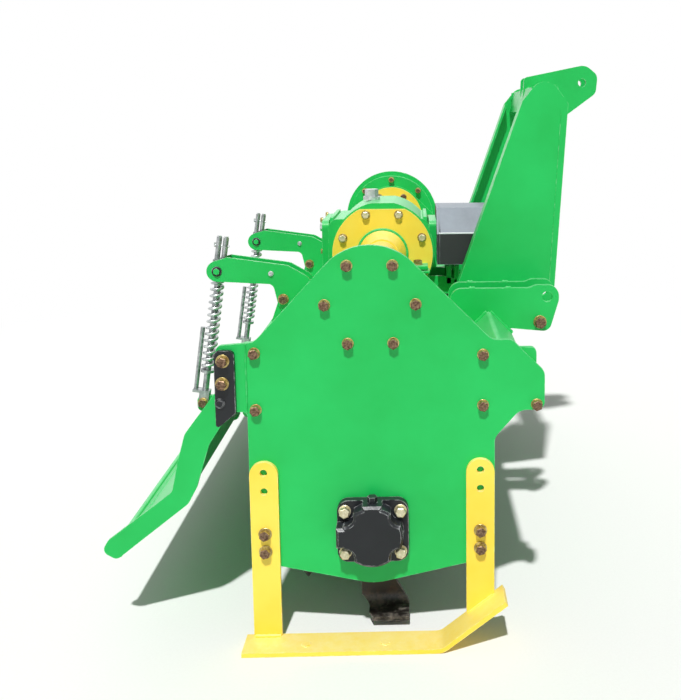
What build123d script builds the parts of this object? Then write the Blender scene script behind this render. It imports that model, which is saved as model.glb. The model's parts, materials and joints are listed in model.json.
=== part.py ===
from build123d import *
import math
import os

# A rotary tiller for a three-point hitch, 1.4 m between its side plates, standing on its skids.
# Millimetres. +X is the direction of travel, +Y the machine's left side, +Z up.
# Every size below is measured from the middle of the rotor's axis, and the finished pieces are
# moved once, so that the origin is on the ground in the middle of the machine.

# Whole machine
WORK_WIDTH = 1400        # over the outer faces of the two side plates
PLATE_T = 8              # side plates
GROUND_DROP = 207        # rotor axis above the ground
ROTOR_X = -19.1          # rotor axis from the origin, which halves the overall length
SHAFT_Z = 405            # cross shaft and input shaft above the rotor axis
GAP = 0.3                # running gap between pieces of different bodies
PLATE_OUT = WORK_WIDTH / 2
PLATE_IN = PLATE_OUT - PLATE_T

# Side plate outline
HEAD_R = 104             # round head about the cross shaft, and round foot about the rotor
FLANK_X = 217            # lower half of the plate, before and behind the rotor
FLANK_LOW_Z = -59
TAB_REAR_X = -268        # tab that carries the tailboard's bracket
TAB_LOW_Z = 216
TAB_TOP_Z = 340
NOSE_X = 305             # nose that carries the front beam
NOSE_LOW_Z = 213
NOSE_TOP_Z = 282
REAR_SLOPE = 47          # degrees, the edges that fall away from the head
FRONT_SLOPE = 45

# Hood over the rotor
HOOD_T = 5
HOOD_TOP_Z = 284         # upper face of its flat top
HOOD_LIP_X = -252        # rear lip, just above the tailboard's hinge
HOOD_LIP_Z = 262
HOOD_BEND_R = 24
PAD_T = 10               # end pads of the hood and of the beam, bolted to the side plates
REAR_PAD_X = -202
REAR_PAD_Z = 271
REAR_PAD_W = 50
REAR_PAD_H = 134
STOOL_X = -188           # stools that carry the spring arms

# Rotor
TUBE_R = 38
FLANGE_R = 92
FLANGE_T = 8
FLANGES = 8
FLANGE_INSET = 84        # outer flange from the inner face of the side plate
TINES_PER_FLANGE = 6
TINE_R = 204             # tip circle
TINE_T = 8
TINE_W = 56              # width of the shank
TINE_REACH = 62          # how far the bent tip stands out sideways
TINE_BEND_R = 26
TINE_SWEEP = 34          # how far the blade trails behind its shank
TINE_BLADE = 66          # height of the swept part
TINE_NOSE = 24           # corner taken off the blade's leading end
TINE_SEAT_R = 50         # inner end of the shank
TINE_SEAT_GAP = 0.05     # the paint between a tine and its flange
HELIX_STEP = 22.5        # degrees from one flange to the next
STUB_R = 25              # rotor's end shafts in their bearings
STUB_CLEAR = 0.06
ROTOR_END_GAP = 6        # tube to side plate

# Bearing cap on the right-hand plate
CAP_W = 126
CAP_H = 114
CAP_FLANGE_T = 14
CAP_BOSS_R = 54
CAP_DEPTH = 44
CAP_BORE_DEPTH = 26
CAP_BOLT_X = 49
CAP_BOLT_Z = 38
CAP_NOTCH_R = 17         # room round each bolt, cut from the boss
CAP_EDGE = 4             # bevel round the boss
CAP_PLUG_R = 9

# Gear case on the left-hand plate
CASE_HEAD_R = 150
CASE_FOOT_R = 118
CASE_DEPTH = 46
CASE_COVER_T = 8
CASE_LIP = 14

# Gearbox
BOX_REAR_X = -130
BOX_FRONT_X = 112
BOX_TOP_Z = 488
BOX_LOW_Z = 300
BOX_HALF_W = 104
BOX_CORNER_R = 22
HUB_R = 124              # round sides of the casting, cut flat on top
HUB_TOP_Z = 526
COVER_R = 120            # bolted side covers
COVER_TOP_Z = 512
COVER_T = 12
NECK_R = 58
NECK_LEN = 52
INPUT_FLANGE_HALF_W = 75
INPUT_FLANGE_LOW_Z = 362
INPUT_FLANGE_TOP_Z = 479
INPUT_FLANGE_T = 18
BACK_COVER_T = 16
BACK_COVER_HALF = 78
FILLER_X = -30
CAP_NECK_R = 17          # oil filler
CAP_NECK_H = 26

# Cross tubes from the gearbox to the side plates
CROSS_R = 38
CROSS_WALL = 6
CROSS_FLANGE_R = 100
CROSS_FLANGE_T = 12

# Input shaft and its guard
PTO_R = 17.45
PTO_ROOT_R = 14.9
PTO_SPLINES = 6
PTO_SPLINE_W = 8.6
PTO_LEN = 96
GUARD_HALF_W = 118
GUARD_TOP_Z = 510
GUARD_SHOULDER_Z = 452
GUARD_LOW_Z = 378
GUARD_CHAMFER = 56
GUARD_FRONT_X = 262
GUARD_T = 4

# Front beam, a square tube set on edge
BEAM_X = 232
BEAM_Z = 270
BEAM_SIDE = 75
BEAM_WALL = 6
BEAM_PAD = 118
STAY_Y = 66
STAY_T = 10

# Lower hitch, for category 1 links
HITCH_Y = 341.5          # middle of each fork
HITCH_GAP = 62           # between the two plates of a fork
HITCH_T = 10
HITCH_PIN_X = 356
HITCH_PIN_Z = 351
HITCH_PIN_R = 11.25
HITCH_EYE_R = 25
HITCH_BOLT_X = 341
HITCH_BOLT_Z = 297
HITCH_BOLT_R = 8
HITCH_SPACER_R = 14

# Mast
MAST_HEIGHT = 460        # top link pin above the lower link pins
MAST_PIN_X = 489
MAST_PIN_R = 9.75
LUG_T = 10
LUG_GAP = 52
LUG_EYE_R = 40
LEG_Y = 215              # outer face of each leg
LEG_T = 6
LEG_FLANGE = 46
LEG_REAR_LOW = (169, 330)   # corners of a leg, as x, z
LEG_FRONT_LOW = (398, 341)
LEG_REAR_TOP_X = 322
LEG_FRONT_TOP_X = 425
LEG_CROWN_X = 374
LEG_CROWN_UP = 17        # crown above the top link pin
LEG_SHOULDER = 47        # top of the straight edges below the top link pin
HEAD_PLATE_T = 8         # bent plate between the legs
MAST_PIN_Z = HITCH_PIN_Z + MAST_HEIGHT

# Skids
SKID_T = 8
SKID_LEG_W = 50
SKID_LEG_X = 191         # middle of each leg, before and behind the rotor
SKID_LEG_TOP_Z = 127
SKID_SOLE_W = 58
SKID_REAR_X = -230
SKID_BEND_X = 122
SKID_TIP_X = 236
SKID_RISE = 86
SKID_HOLE_R = 6.5
SKID_HOLE_Z = (107, 73)  # spare holes, for other working depths

# Tailboard and what holds it
HINGE_X = -262
HINGE_Z = 235
HINGE_R = 8
HINGE_REACH = 18         # how far the pin goes in past the board's end
BOARD_T = 5
END_T = 6                # plates at the board's ends
BOARD_GAP = 18           # end of the board to the side plate
BOARD_HALF = PLATE_IN - BOARD_GAP
BRACKET_T = 8
BRACKET_X = -253
BRACKET_W = 35
BRACKET_TOP_Z = 328
BRACKET_LOW_Z = 200
ARM_Y = 242              # middle of each spring arm
ARM_T = 6
ARM_GAP = 38
ARM_END_R = 23           # round end about the swivel
PIVOT_X = -361           # swivel block at the arm's end
PIVOT_Z = 392
EYE_X = -406             # rod's eye on the tailboard
EYE_Z = 88
EYE_PIN_R = 6
EYE_CLEAR = 2.4          # the eye's play, which takes up what the linkage drifts
LUG_HALF_T = 5
ROD_R = 7
ROD_TOP = 74             # the rod's double end above the swivel block's middle
PRONG_R = 6              # the two prongs of that end
PRONG_X = 7.5
STOP_T = 7               # plate under the prongs that rests on the swivel
STOP_W = 20
SIDE_BAR_R = 5           # short bar beside the foot of the spring
SIDE_BAR_X = 21.5
SIDE_BAR_LEN = 150
SWIVEL_R = 16
SWIVEL_PIN_R = 7
FORK_RISE = 22           # fork's root above the eye
FORK_BRIDGE_X = 16       # the root runs this far back to the short bar
STRAP_T = 5              # straps of the fork
STRAP_W = 22
SWIVEL_HALF = 15
SPRING_R = 13
SPRING_WIRE_R = 2.2
SPRING_TURNS = 17
COIL_STEPS = 8           # straight runs in one turn of the coil
SPRING_LEN = 214
COLLAR_T = 6
SPRING_TOP = SWIVEL_R + 1  # top of the spring below the swivel's middle

ROD_ANGLE = math.degrees(math.atan2(PIVOT_X - EYE_X, PIVOT_Z - EYE_Z))
ROD_RUN = math.hypot(PIVOT_X - EYE_X, PIVOT_Z - EYE_Z)

NODES = {}


def slab(face, low_y, high_y):
    """A face drawn in (x, z), made solid between two places across the machine."""
    back = Plane(origin=(0, high_y, 0), x_dir=(1, 0, 0), z_dir=(0, -1, 0))
    return extrude(back * face, amount=high_y - low_y)


def outline(*corners):
    """A face from corners of (x, z, radius), each rounded by its own radius."""
    face = make_face(Polyline(*[(x, z) for x, z, _ in corners], close=True))
    for x, z, radius in corners:
        if radius > 0:
            corner = min(face.vertices(), key=lambda v: (Vector(v.X, v.Y) - Vector(x, z)).length)
            face = fillet(corner, radius)
    return face


def across(radius, low_y, high_y, x=0.0, z=0.0):
    """A round bar across the machine."""
    return slab(Pos(x, z) * Circle(radius), low_y, high_y)


def meet(point_a, slope_a, point_b, slope_b):
    """Where two straight edges meet, each given by a point and its angle in degrees."""
    ax, az, bx, bz = *point_a, *point_b
    ua = (math.cos(math.radians(slope_a)), math.sin(math.radians(slope_a)))
    ub = (math.cos(math.radians(slope_b)), math.sin(math.radians(slope_b)))
    along = ((bx - ax) * ub[1] - (bz - az) * ub[0]) / (ua[0] * ub[1] - ua[1] * ub[0])
    return ax + along * ua[0], az + along * ua[1]


def plate_face():
    """The side plate: a round head, two sloping shoulders, a nose, a tab and a round foot."""
    rear, front = math.radians(REAR_SLOPE), math.radians(FRONT_SLOPE)
    rear_touch = (-HEAD_R * math.sin(rear), SHAFT_Z + HEAD_R * math.cos(rear))
    front_touch = (HEAD_R * math.sin(front), SHAFT_Z + HEAD_R * math.cos(front))
    peak = meet(rear_touch, REAR_SLOPE, front_touch, -FRONT_SLOPE)
    rear_foot = meet(rear_touch, REAR_SLOPE, (0, TAB_TOP_Z), 0)
    front_foot = meet(front_touch, -FRONT_SLOPE, (0, TAB_TOP_Z), 0)
    shoulder_x = NOSE_X - (TAB_TOP_Z - NOSE_TOP_Z)
    foot_turn = math.asin(HEAD_R / math.hypot(FLANK_X, FLANK_LOW_Z)) - math.atan2(-FLANK_LOW_Z, FLANK_X)
    foot_z = FLANK_LOW_Z - FLANK_X * math.tan(foot_turn)
    return outline(
        # x, z, corner radius
        (TAB_REAR_X, TAB_LOW_Z, 8),
        (TAB_REAR_X, TAB_TOP_Z - 5, 10),
        (*rear_foot, 24),
        (*peak, HEAD_R),
        (*front_foot, 24),
        (shoulder_x, TAB_TOP_Z, 16),
        (NOSE_X, NOSE_TOP_Z, 20),
        (NOSE_X, NOSE_LOW_Z, 14),
        (NOSE_X - 44, NOSE_LOW_Z, 30),
        (FLANK_X, NOSE_LOW_Z - 50, 20),
        (FLANK_X, FLANK_LOW_Z, 10),
        (0, foot_z, HEAD_R),
        (-FLANK_X, FLANK_LOW_Z, 10),
        (-FLANK_X, TAB_LOW_Z, 8),
    )


def side_plate(side):
    """One side plate, bored for the rotor's end shaft."""
    low, high = sorted((side * PLATE_IN, side * PLATE_OUT))
    pin_hole = Pos(HINGE_X, HINGE_Z) * Circle(HINGE_R + GAP)
    return slab(plate_face() - Circle(STUB_R + 6) - pin_hole, low, high)


def hood():
    """The bent sheet over the rotor, with its rear angle, end pads and the arms' stools."""
    middle_z = HOOD_TOP_Z - HOOD_T / 2
    bend_x = HOOD_LIP_X + (middle_z - HOOD_LIP_Z) + 14
    skin = FilletPolyline((HOOD_LIP_X, HOOD_LIP_Z), (bend_x, middle_z), (BEAM_X, middle_z),
                          radius=HOOD_BEND_R)
    sheet = slab(trace_sheet(skin, HOOD_T), -PLATE_IN, PLATE_IN)
    pad = Pos(REAR_PAD_X, REAR_PAD_Z) * fillet(Rectangle(REAR_PAD_W, REAR_PAD_H).vertices(), 10)
    for side in (-1, 1):
        sheet += slab(pad, *sorted((side * (PLATE_IN - PAD_T), side * PLATE_IN)))
        sheet += slab(stool_face(), side * ARM_Y - ARM_GAP / 2, side * ARM_Y + ARM_GAP / 2)
        sheet -= slab(beam_pad(), *sorted((side * (PLATE_IN - PAD_T), side * PLATE_IN)))
    return sheet - slab(beam_notch(), -PLATE_IN, PLATE_IN)


def stool_face():
    """The stool that a spring arm's two plates are bolted to."""
    return outline(
        # x, z, corner radius
        (HOOD_LIP_X + 4, HOOD_LIP_Z + 4, 0),
        (STOOL_X - 38, HOOD_TOP_Z + 46, 12),
        (STOOL_X + 14, HOOD_TOP_Z + 50, 12),
        (STOOL_X + 44, HOOD_TOP_Z - 2, 0),
        (HOOD_LIP_X + 36, HOOD_TOP_Z - 3, 0),
    )


def trace_sheet(line, thickness):
    """A sheet's section: a line given its thickness."""
    return trace(line, line_width=thickness)


def bearing_cap():
    """The right-hand rotor bearing: a flange, a boss cut away round the four bolts, and an oil plug."""
    face = -PLATE_OUT
    flange = slab(fillet(Rectangle(CAP_W, CAP_H).vertices(), 20), face - CAP_FLANGE_T, face)
    shape = Circle(CAP_BOSS_R) + Pos(0, CAP_H / 4) * Rectangle(34, CAP_H / 2)
    shape = shape + Pos(-CAP_W / 4, 0) * Rectangle(CAP_W / 2, 36)
    for x, z in ((1, 1), (1, -1), (-1, 1), (-1, -1)):
        shape = shape - Pos(x * CAP_BOLT_X, z * CAP_BOLT_Z) * Circle(CAP_NOTCH_R)
    boss = slab(shape, face - CAP_DEPTH, face - CAP_FLANGE_T)
    boss = chamfer(boss.faces().sort_by(Axis.Y)[0].outer_wire().edges(), CAP_EDGE)
    plug = Pos(0, face - CAP_DEPTH / 2, CAP_H / 2 - 2) * extrude(RegularPolygon(CAP_PLUG_R, 6), CAP_PLUG_R + 4)
    return flange + boss + plug - across(STUB_R + STUB_CLEAR, face - CAP_BORE_DEPTH, face + 1)


def case_face(grow=0.0):
    """The gear case's outline: two rounds joined by straight sides."""
    head = Pos(0, SHAFT_Z) * Circle(CASE_HEAD_R + grow)
    foot = Circle(CASE_FOOT_R + grow)
    lean = math.asin((CASE_HEAD_R - CASE_FOOT_R) / SHAFT_Z)
    cos, sin = math.cos(lean), math.sin(lean)
    head_r, foot_r = CASE_HEAD_R + grow, CASE_FOOT_R + grow
    web = make_face(Polyline(
        (head_r * cos, SHAFT_Z - head_r * sin), (foot_r * cos, -foot_r * sin),
        (-foot_r * cos, -foot_r * sin), (-head_r * cos, SHAFT_Z - head_r * sin), close=True))
    return head + foot + web


def gear_case():
    """The left-hand case for the gear train down to the rotor, closed and solid."""
    case = slab(case_face(-CASE_LIP), PLATE_OUT, PLATE_OUT + CASE_DEPTH - CASE_COVER_T)
    rim = PLATE_OUT + CASE_DEPTH - CASE_COVER_T
    case += slab(case_face(), rim - CASE_COVER_T, rim)
    return case - across(STUB_R + STUB_CLEAR, PLATE_OUT - 1, PLATE_OUT + CAP_BORE_DEPTH)


def gear_case_cover():
    """The bolted cover, with a raised boss over each gear."""
    face = PLATE_OUT + CASE_DEPTH
    cover = slab(case_face(), face - CASE_COVER_T, face)
    cover += across(CASE_HEAD_R - 62, face, face + 8, z=SHAFT_Z)
    cover += across(CASE_FOOT_R - 50, face, face + 8)
    return cover


def gearbox():
    """The main gearbox, a cast block with round side hubs, ribs and a rear cover."""
    middle_x = (BOX_REAR_X + BOX_FRONT_X) / 2
    block = Pos(middle_x, 0, (BOX_TOP_Z + BOX_LOW_Z) / 2) * Box(
        BOX_FRONT_X - BOX_REAR_X, 2 * BOX_HALF_W, BOX_TOP_Z - BOX_LOW_Z)
    block = fillet(block.edges().filter_by(Axis.Y), BOX_CORNER_R)
    block += across(HUB_R, -BOX_HALF_W, BOX_HALF_W, z=SHAFT_Z)
    block = block.split(Plane.XY.offset(HUB_TOP_Z), keep=Keep.BOTTOM)
    block = block.split(Plane.XY.offset(HOOD_TOP_Z), keep=Keep.TOP)
    back = Pos(BOX_REAR_X, 0, SHAFT_Z) * Rot(0, -90, 0) * extrude(
        fillet(Rectangle(2 * BACK_COVER_HALF, 2 * BACK_COVER_HALF + 30).vertices(), 18), BACK_COVER_T)
    nose_h = INPUT_FLANGE_TOP_Z - INPUT_FLANGE_LOW_Z
    nose = Pos(BOX_FRONT_X, 0, INPUT_FLANGE_LOW_Z + nose_h / 2) * Rot(0, 90, 0) * extrude(
        fillet(Rectangle(nose_h, 2 * INPUT_FLANGE_HALF_W).vertices(), 14), INPUT_FLANGE_T)
    feet = Pos(middle_x, 0, (HOOD_TOP_Z + BOX_LOW_Z + 10) / 2) * Box(
        BOX_FRONT_X - BOX_REAR_X - 60, 2 * BOX_HALF_W - 40, BOX_LOW_Z + 10 - HOOD_TOP_Z)
    block += back + nose + feet
    return block - Pos(BOX_FRONT_X, 0, SHAFT_Z) * Rot(0, 90, 0) * extrude(
        Circle(PTO_R + STUB_CLEAR), INPUT_FLANGE_T + 1)


def gearbox_cover(side):
    """A round side cover with a coned neck that the cross tube fits against."""
    low, high = sorted((side * BOX_HALF_W, side * (BOX_HALF_W + COVER_T)))
    cover = slab(Pos(0, SHAFT_Z) * Circle(COVER_R), low, high)
    cover = cover.split(Plane.XY.offset(COVER_TOP_Z), keep=Keep.BOTTOM)
    start = Plane(origin=(0, side * (BOX_HALF_W + COVER_T), SHAFT_Z), x_dir=(1, 0, 0), z_dir=(0, side, 0))
    neck = loft([start * Circle(NECK_R), start.offset(NECK_LEN) * Circle(CROSS_R + 4)])
    return cover + neck


def cross_tube(side):
    """The tube round the cross shaft, with a round flange that bolts to the side plate."""
    inner, outer = BOX_HALF_W + COVER_T + NECK_LEN, PLATE_IN
    low, high = sorted((side * inner, side * outer))
    tube = across(CROSS_R, low, high, z=SHAFT_Z)
    flange = sorted((side * (outer - CROSS_FLANGE_T), side * outer))
    tube += across(CROSS_FLANGE_R, *flange, z=SHAFT_Z)
    return tube - across(CROSS_R - CROSS_WALL, low, high, z=SHAFT_Z)


def filler_cap():
    """The oil filler and breather on top of the gearbox."""
    base = Pos(FILLER_X, 0, HUB_TOP_Z) * extrude(Circle(CAP_NECK_R + 4), CAP_NECK_H * 0.3)
    return base + Pos(FILLER_X, 0, HUB_TOP_Z + CAP_NECK_H * 0.3) * extrude(
        RegularPolygon(CAP_NECK_R, 6), CAP_NECK_H * 0.7)


def pto_shaft():
    """The splined input shaft."""
    start = Plane(origin=(BOX_FRONT_X + 1, 0, SHAFT_Z), x_dir=(0, 1, 0), z_dir=(1, 0, 0))
    shaft = extrude(start * Circle(PTO_R), amount=INPUT_FLANGE_T + 12)
    ring = Circle(PTO_ROOT_R) + [
        Rot(0, 0, 360 / PTO_SPLINES * i) * Pos(PTO_R / 2, 0) * Rectangle(PTO_R, PTO_SPLINE_W)
        for i in range(PTO_SPLINES)]
    ring = ring & Circle(PTO_R)
    return shaft + extrude(start.offset(INPUT_FLANGE_T + 12) * ring, amount=PTO_LEN - INPUT_FLANGE_T - 12)


def pto_guard():
    """The moulded guard over the input shaft: a roof with sloping shoulders, open below."""
    def section(inset):
        half, top = GUARD_HALF_W - inset, GUARD_TOP_Z - inset
        low = GUARD_LOW_Z - (1 if inset else 0)
        return Polyline((-half, low), (-half, GUARD_SHOULDER_Z), (-half + GUARD_CHAMFER, top),
                        (half - GUARD_CHAMFER, top), (half, GUARD_SHOULDER_Z), (half, low), close=True)
    rear_x = BOX_FRONT_X + INPUT_FLANGE_T + GAP
    start = Plane(origin=(rear_x, 0, 0), x_dir=(0, 1, 0), z_dir=(1, 0, 0))
    guard = extrude(start * (make_face(section(0)) - Pos(0, SHAFT_Z) * Circle(PTO_R + 4)),
                    amount=GUARD_FRONT_X - rear_x)
    return guard - extrude(start.offset(GUARD_T) * make_face(section(GUARD_T)), amount=GUARD_FRONT_X)


def front_beam():
    """The square tube set on edge, with an end pad for each side plate."""
    section = Pos(BEAM_X, BEAM_Z) * Rot(0, 0, 45) * (
        fillet(Rectangle(BEAM_SIDE, BEAM_SIDE).vertices(), 8)
        - fillet(Rectangle(BEAM_SIDE - 2 * BEAM_WALL, BEAM_SIDE - 2 * BEAM_WALL).vertices(), 3))
    beam = slab(section, -PLATE_IN, PLATE_IN)
    for side in (-1, 1):
        beam += slab(beam_pad(), *sorted((side * (PLATE_IN - PAD_T), side * PLATE_IN)))
        beam += slab(stay_face(), side * STAY_Y - STAY_T / 2, side * STAY_Y + STAY_T / 2)
    return beam


def stay_face():
    """The stays from the beam to the front of the gearbox."""
    return outline(
        # x, z, corner radius
        (BOX_FRONT_X, HOOD_TOP_Z + 22, 0),
        (BOX_FRONT_X, HOOD_TOP_Z + 58, 0),
        (BOX_FRONT_X + 34, HOOD_TOP_Z + 58, 20),
        (BEAM_X - 4, BEAM_Z + 48, 0),
        (BEAM_X - 30, BEAM_Z + 20, 0),
    ) - Pos(BEAM_X, BEAM_Z) * Rot(0, 0, 45) * Rectangle(BEAM_SIDE - 2 * BEAM_WALL, BEAM_SIDE - 2 * BEAM_WALL)


def beam_pad():
    """The pad at each end of the beam, which the side plate is bolted to."""
    return Pos(BEAM_X, BEAM_Z) * fillet(Rectangle(BEAM_PAD, BEAM_PAD - 10).vertices(), 10)


def beam_notch():
    """What a plate that sits over the front beam is cut by."""
    return Pos(BEAM_X, BEAM_Z) * Rot(0, 0, 45) * fillet(Rectangle(BEAM_SIDE, BEAM_SIDE).vertices(), 8)


def hitch_fork(side):
    """One lower hitch: two plates on the beam, with a spacer and its bolt between them."""
    face = outline(
        # x, z, corner radius
        (150, HITCH_PIN_Z + 19, 26),
        (HITCH_PIN_X - 40, HITCH_PIN_Z + 19, 20),
        (HITCH_PIN_X - 24, HITCH_PIN_Z + HITCH_EYE_R, 10),
        (HITCH_PIN_X + HITCH_EYE_R, HITCH_PIN_Z + HITCH_EYE_R, HITCH_EYE_R - 1),
        (HITCH_PIN_X + HITCH_EYE_R, HITCH_PIN_Z - 8, 20),
        (HITCH_BOLT_X + 20, HITCH_BOLT_Z - 21, 18),
        (BEAM_X + 45, HITCH_BOLT_Z - 13, 10),
        (BEAM_X + 10, BEAM_Z - 30, 6),
        (BEAM_X - 40, HOOD_TOP_Z + 1, 0),
        (BEAM_X - 52, HOOD_TOP_Z + 1, 6),
        (150, HITCH_PIN_Z - 26, 20),
    )
    face = face - beam_notch() - Pos(HITCH_PIN_X, HITCH_PIN_Z) * Circle(HITCH_PIN_R)
    face = face - Pos(HITCH_BOLT_X, HITCH_BOLT_Z) * Circle(HITCH_BOLT_R)
    plates = Part()
    for step in (-1, 1):
        inner = side * HITCH_Y + step * HITCH_GAP / 2
        plates += slab(face, *sorted((inner, inner + step * HITCH_T)))
    low, high = side * HITCH_Y - HITCH_GAP / 2, side * HITCH_Y + HITCH_GAP / 2
    spacer = across(HITCH_SPACER_R, low, high, HITCH_BOLT_X, HITCH_BOLT_Z)
    return plates + spacer - across(HITCH_BOLT_R, low, high, HITCH_BOLT_X, HITCH_BOLT_Z)


def mast_leg(side):
    """One leg of the mast: a tapered plate with both edges bent inwards."""
    shoulder_z = MAST_PIN_Z - LEG_SHOULDER
    rear_top, front_top = (LEG_REAR_TOP_X, shoulder_z), (LEG_FRONT_TOP_X, shoulder_z - 6)
    face = outline(
        # x, z, corner radius
        (*LEG_REAR_LOW, 0),
        (*rear_top, 14),
        (LEG_CROWN_X, MAST_PIN_Z + LEG_CROWN_UP, 34),
        (*front_top, 14),
        (*LEG_FRONT_LOW, 12),
        (BEAM_X + 68, BEAM_Z + 26, 10),
        (BEAM_X + 20, BEAM_Z + 20, 0),
        (BEAM_X - 30, HOOD_TOP_Z + 1, 0),
        (LEG_REAR_LOW[0] + 16, HOOD_TOP_Z + 1, 6),
    )
    leg = slab(face - beam_notch(), *sorted((side * LEG_Y, side * (LEG_Y - LEG_T))))
    for low, top, step in ((LEG_REAR_LOW, rear_top, 1), (LEG_FRONT_LOW, front_top, -1)):
        strip = outline((*low, 0), (*top, 0), (top[0] + step * LEG_T, top[1], 0),
                        (low[0] + step * LEG_T, low[1], 0))
        leg += slab(strip, *sorted((side * LEG_Y, side * (LEG_Y - LEG_FLANGE))))
    return leg


def mast_head():
    """The bent plate between the legs and the two lugs for the top link."""
    half = LEG_Y - LEG_T
    shoulder_z = MAST_PIN_Z - LEG_SHOULDER
    bend = Polyline((LEG_REAR_TOP_X + 20, shoulder_z - 22), (LEG_REAR_TOP_X + 30, MAST_PIN_Z - 19),
                    (LEG_FRONT_TOP_X - 27, MAST_PIN_Z - 15), (LEG_FRONT_TOP_X - 17, shoulder_z - 22))
    head = slab(trace_sheet(bend, HEAD_PLATE_T), -half, half)
    lug = outline(
        # x, z, corner radius
        (LEG_REAR_TOP_X + 20, MAST_PIN_Z - 81, 6),
        (LEG_REAR_TOP_X + 25, MAST_PIN_Z + 13, 10),
        (MAST_PIN_X + 8, MAST_PIN_Z + LUG_EYE_R + 3, 30),
        (MAST_PIN_X + LUG_EYE_R - 2, MAST_PIN_Z + 18, 22),
        (MAST_PIN_X + LUG_EYE_R - 6, MAST_PIN_Z - 26, 22),
        (LEG_FRONT_TOP_X + 15, MAST_PIN_Z - 87, 8),
    )
    lug = lug - Pos(MAST_PIN_X, MAST_PIN_Z) * Circle(MAST_PIN_R)
    return head + [slab(lug, *sorted((side * LUG_GAP / 2, side * (LUG_GAP / 2 + LUG_T)))) for side in (-1, 1)]


def skid(side):
    """One skid: two legs up the side plate and a flat sole that turns up in front."""
    ground = -GROUND_DROP
    inner, outer = side * PLATE_OUT, side * (PLATE_OUT + SKID_SOLE_W)
    leg_band = sorted((inner, inner + side * SKID_T))
    rise = outline(
        # x, z, corner radius
        (SKID_REAR_X, ground, 0),
        (SKID_REAR_X, ground + SKID_T, 0),
        (SKID_BEND_X - 3, ground + SKID_T, 24),
        (SKID_TIP_X - 5, ground + SKID_RISE + SKID_T, 0),
        (SKID_TIP_X, ground + SKID_RISE, 0),
        (SKID_BEND_X, ground, 32),
    )
    part = slab(rise, *sorted((inner, outer)))
    slope = SKID_RISE / (SKID_TIP_X - SKID_BEND_X)
    half = SKID_LEG_W / 2
    for x in (-SKID_LEG_X, SKID_LEG_X):
        foot = [max(ground + 1, ground + 1 + slope * (edge - SKID_BEND_X)) for edge in (x - half, x + half)]
        leg = outline((x - half, foot[0], 0), (x - half, SKID_LEG_TOP_Z, half - 0.5),
                      (x + half, SKID_LEG_TOP_Z, half - 0.5), (x + half, foot[1], 0))
        for z in SKID_HOLE_Z:
            leg = leg - Pos(x, z) * Circle(SKID_HOLE_R)
        part += slab(leg, *leg_band)
    return part


def bracket(side):
    """The plate on the side plate's tab that carries the tailboard's hinge pin."""
    low, high = sorted((side * PLATE_OUT, side * (PLATE_OUT + BRACKET_T)))
    rear, front = BRACKET_X - BRACKET_W / 2, BRACKET_X + BRACKET_W / 2
    face = outline((rear, BRACKET_LOW_Z - 12, 4), (rear, BRACKET_TOP_Z, 10), (front, BRACKET_TOP_Z, 10),
                   (front, BRACKET_LOW_Z + 16, 4))
    pin = across(HINGE_R, *sorted((side * (BOARD_HALF - HINGE_REACH), side * PLATE_OUT)), HINGE_X, HINGE_Z)
    return slab(face, low, high) + pin


def from_hinge(*corners):
    """Corners given from the tailboard's hinge, as (x, z, ...) from the rotor axis."""
    return [(HINGE_X + corner[0], HINGE_Z + corner[1], *corner[2:]) for corner in corners]


def tailboard():
    """The bent rear board, with a deep plate at each end and a lug for each rod's eye."""
    profile = outline(*from_hinge(
        # x, z, corner radius
        (14, 11, 16),
        (-14, 11, 16),
        (-73, -67, 30),
        (-88, -121, 10),
        (-99, -174, 16),
        (-218, -264, 12),
        (-230, -285, 12),
        (-204, -301, 12),
        (-71, -197, 24),
        (-55, -167, 12),
        (-30, -87, 12),
        (10, -25, 10),
    ))
    profile = profile - Pos(HINGE_X, HINGE_Z) * Circle(HINGE_R + 0.05)
    skin = Polyline(*from_hinge((-10, -9), (-42, -67), (-69, -173), (-83, -193), (-208, -290)))
    board = slab(trace_sheet(skin, BOARD_T), -BOARD_HALF, BOARD_HALF)
    board += [slab(profile, *sorted((side * BOARD_HALF, side * (BOARD_HALF - END_T)))) for side in (-1, 1)]
    foot = from_hinge((-64, -179, 0), (-82, -191, 0), (-100, -201, 0))
    lug = outline((EYE_X - 14, EYE_Z + 15, 12), (foot[0][0] - 4, EYE_Z + 15, 0), *foot,
                  (EYE_X - 14, EYE_Z - 16, 12))
    lug = lug - Pos(EYE_X, EYE_Z) * Circle(EYE_PIN_R + EYE_CLEAR)
    lip = outline(*from_hinge((-208, -290, 0), (-196, -296, 0), (-178, -276, 0), (-190, -270, 0)))
    board += slab(lip, -BOARD_HALF, BOARD_HALF)
    board += [slab(lug, side * ARM_Y - LUG_HALF_T, side * ARM_Y + LUG_HALF_T) for side in (-1, 1)]
    return board


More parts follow.
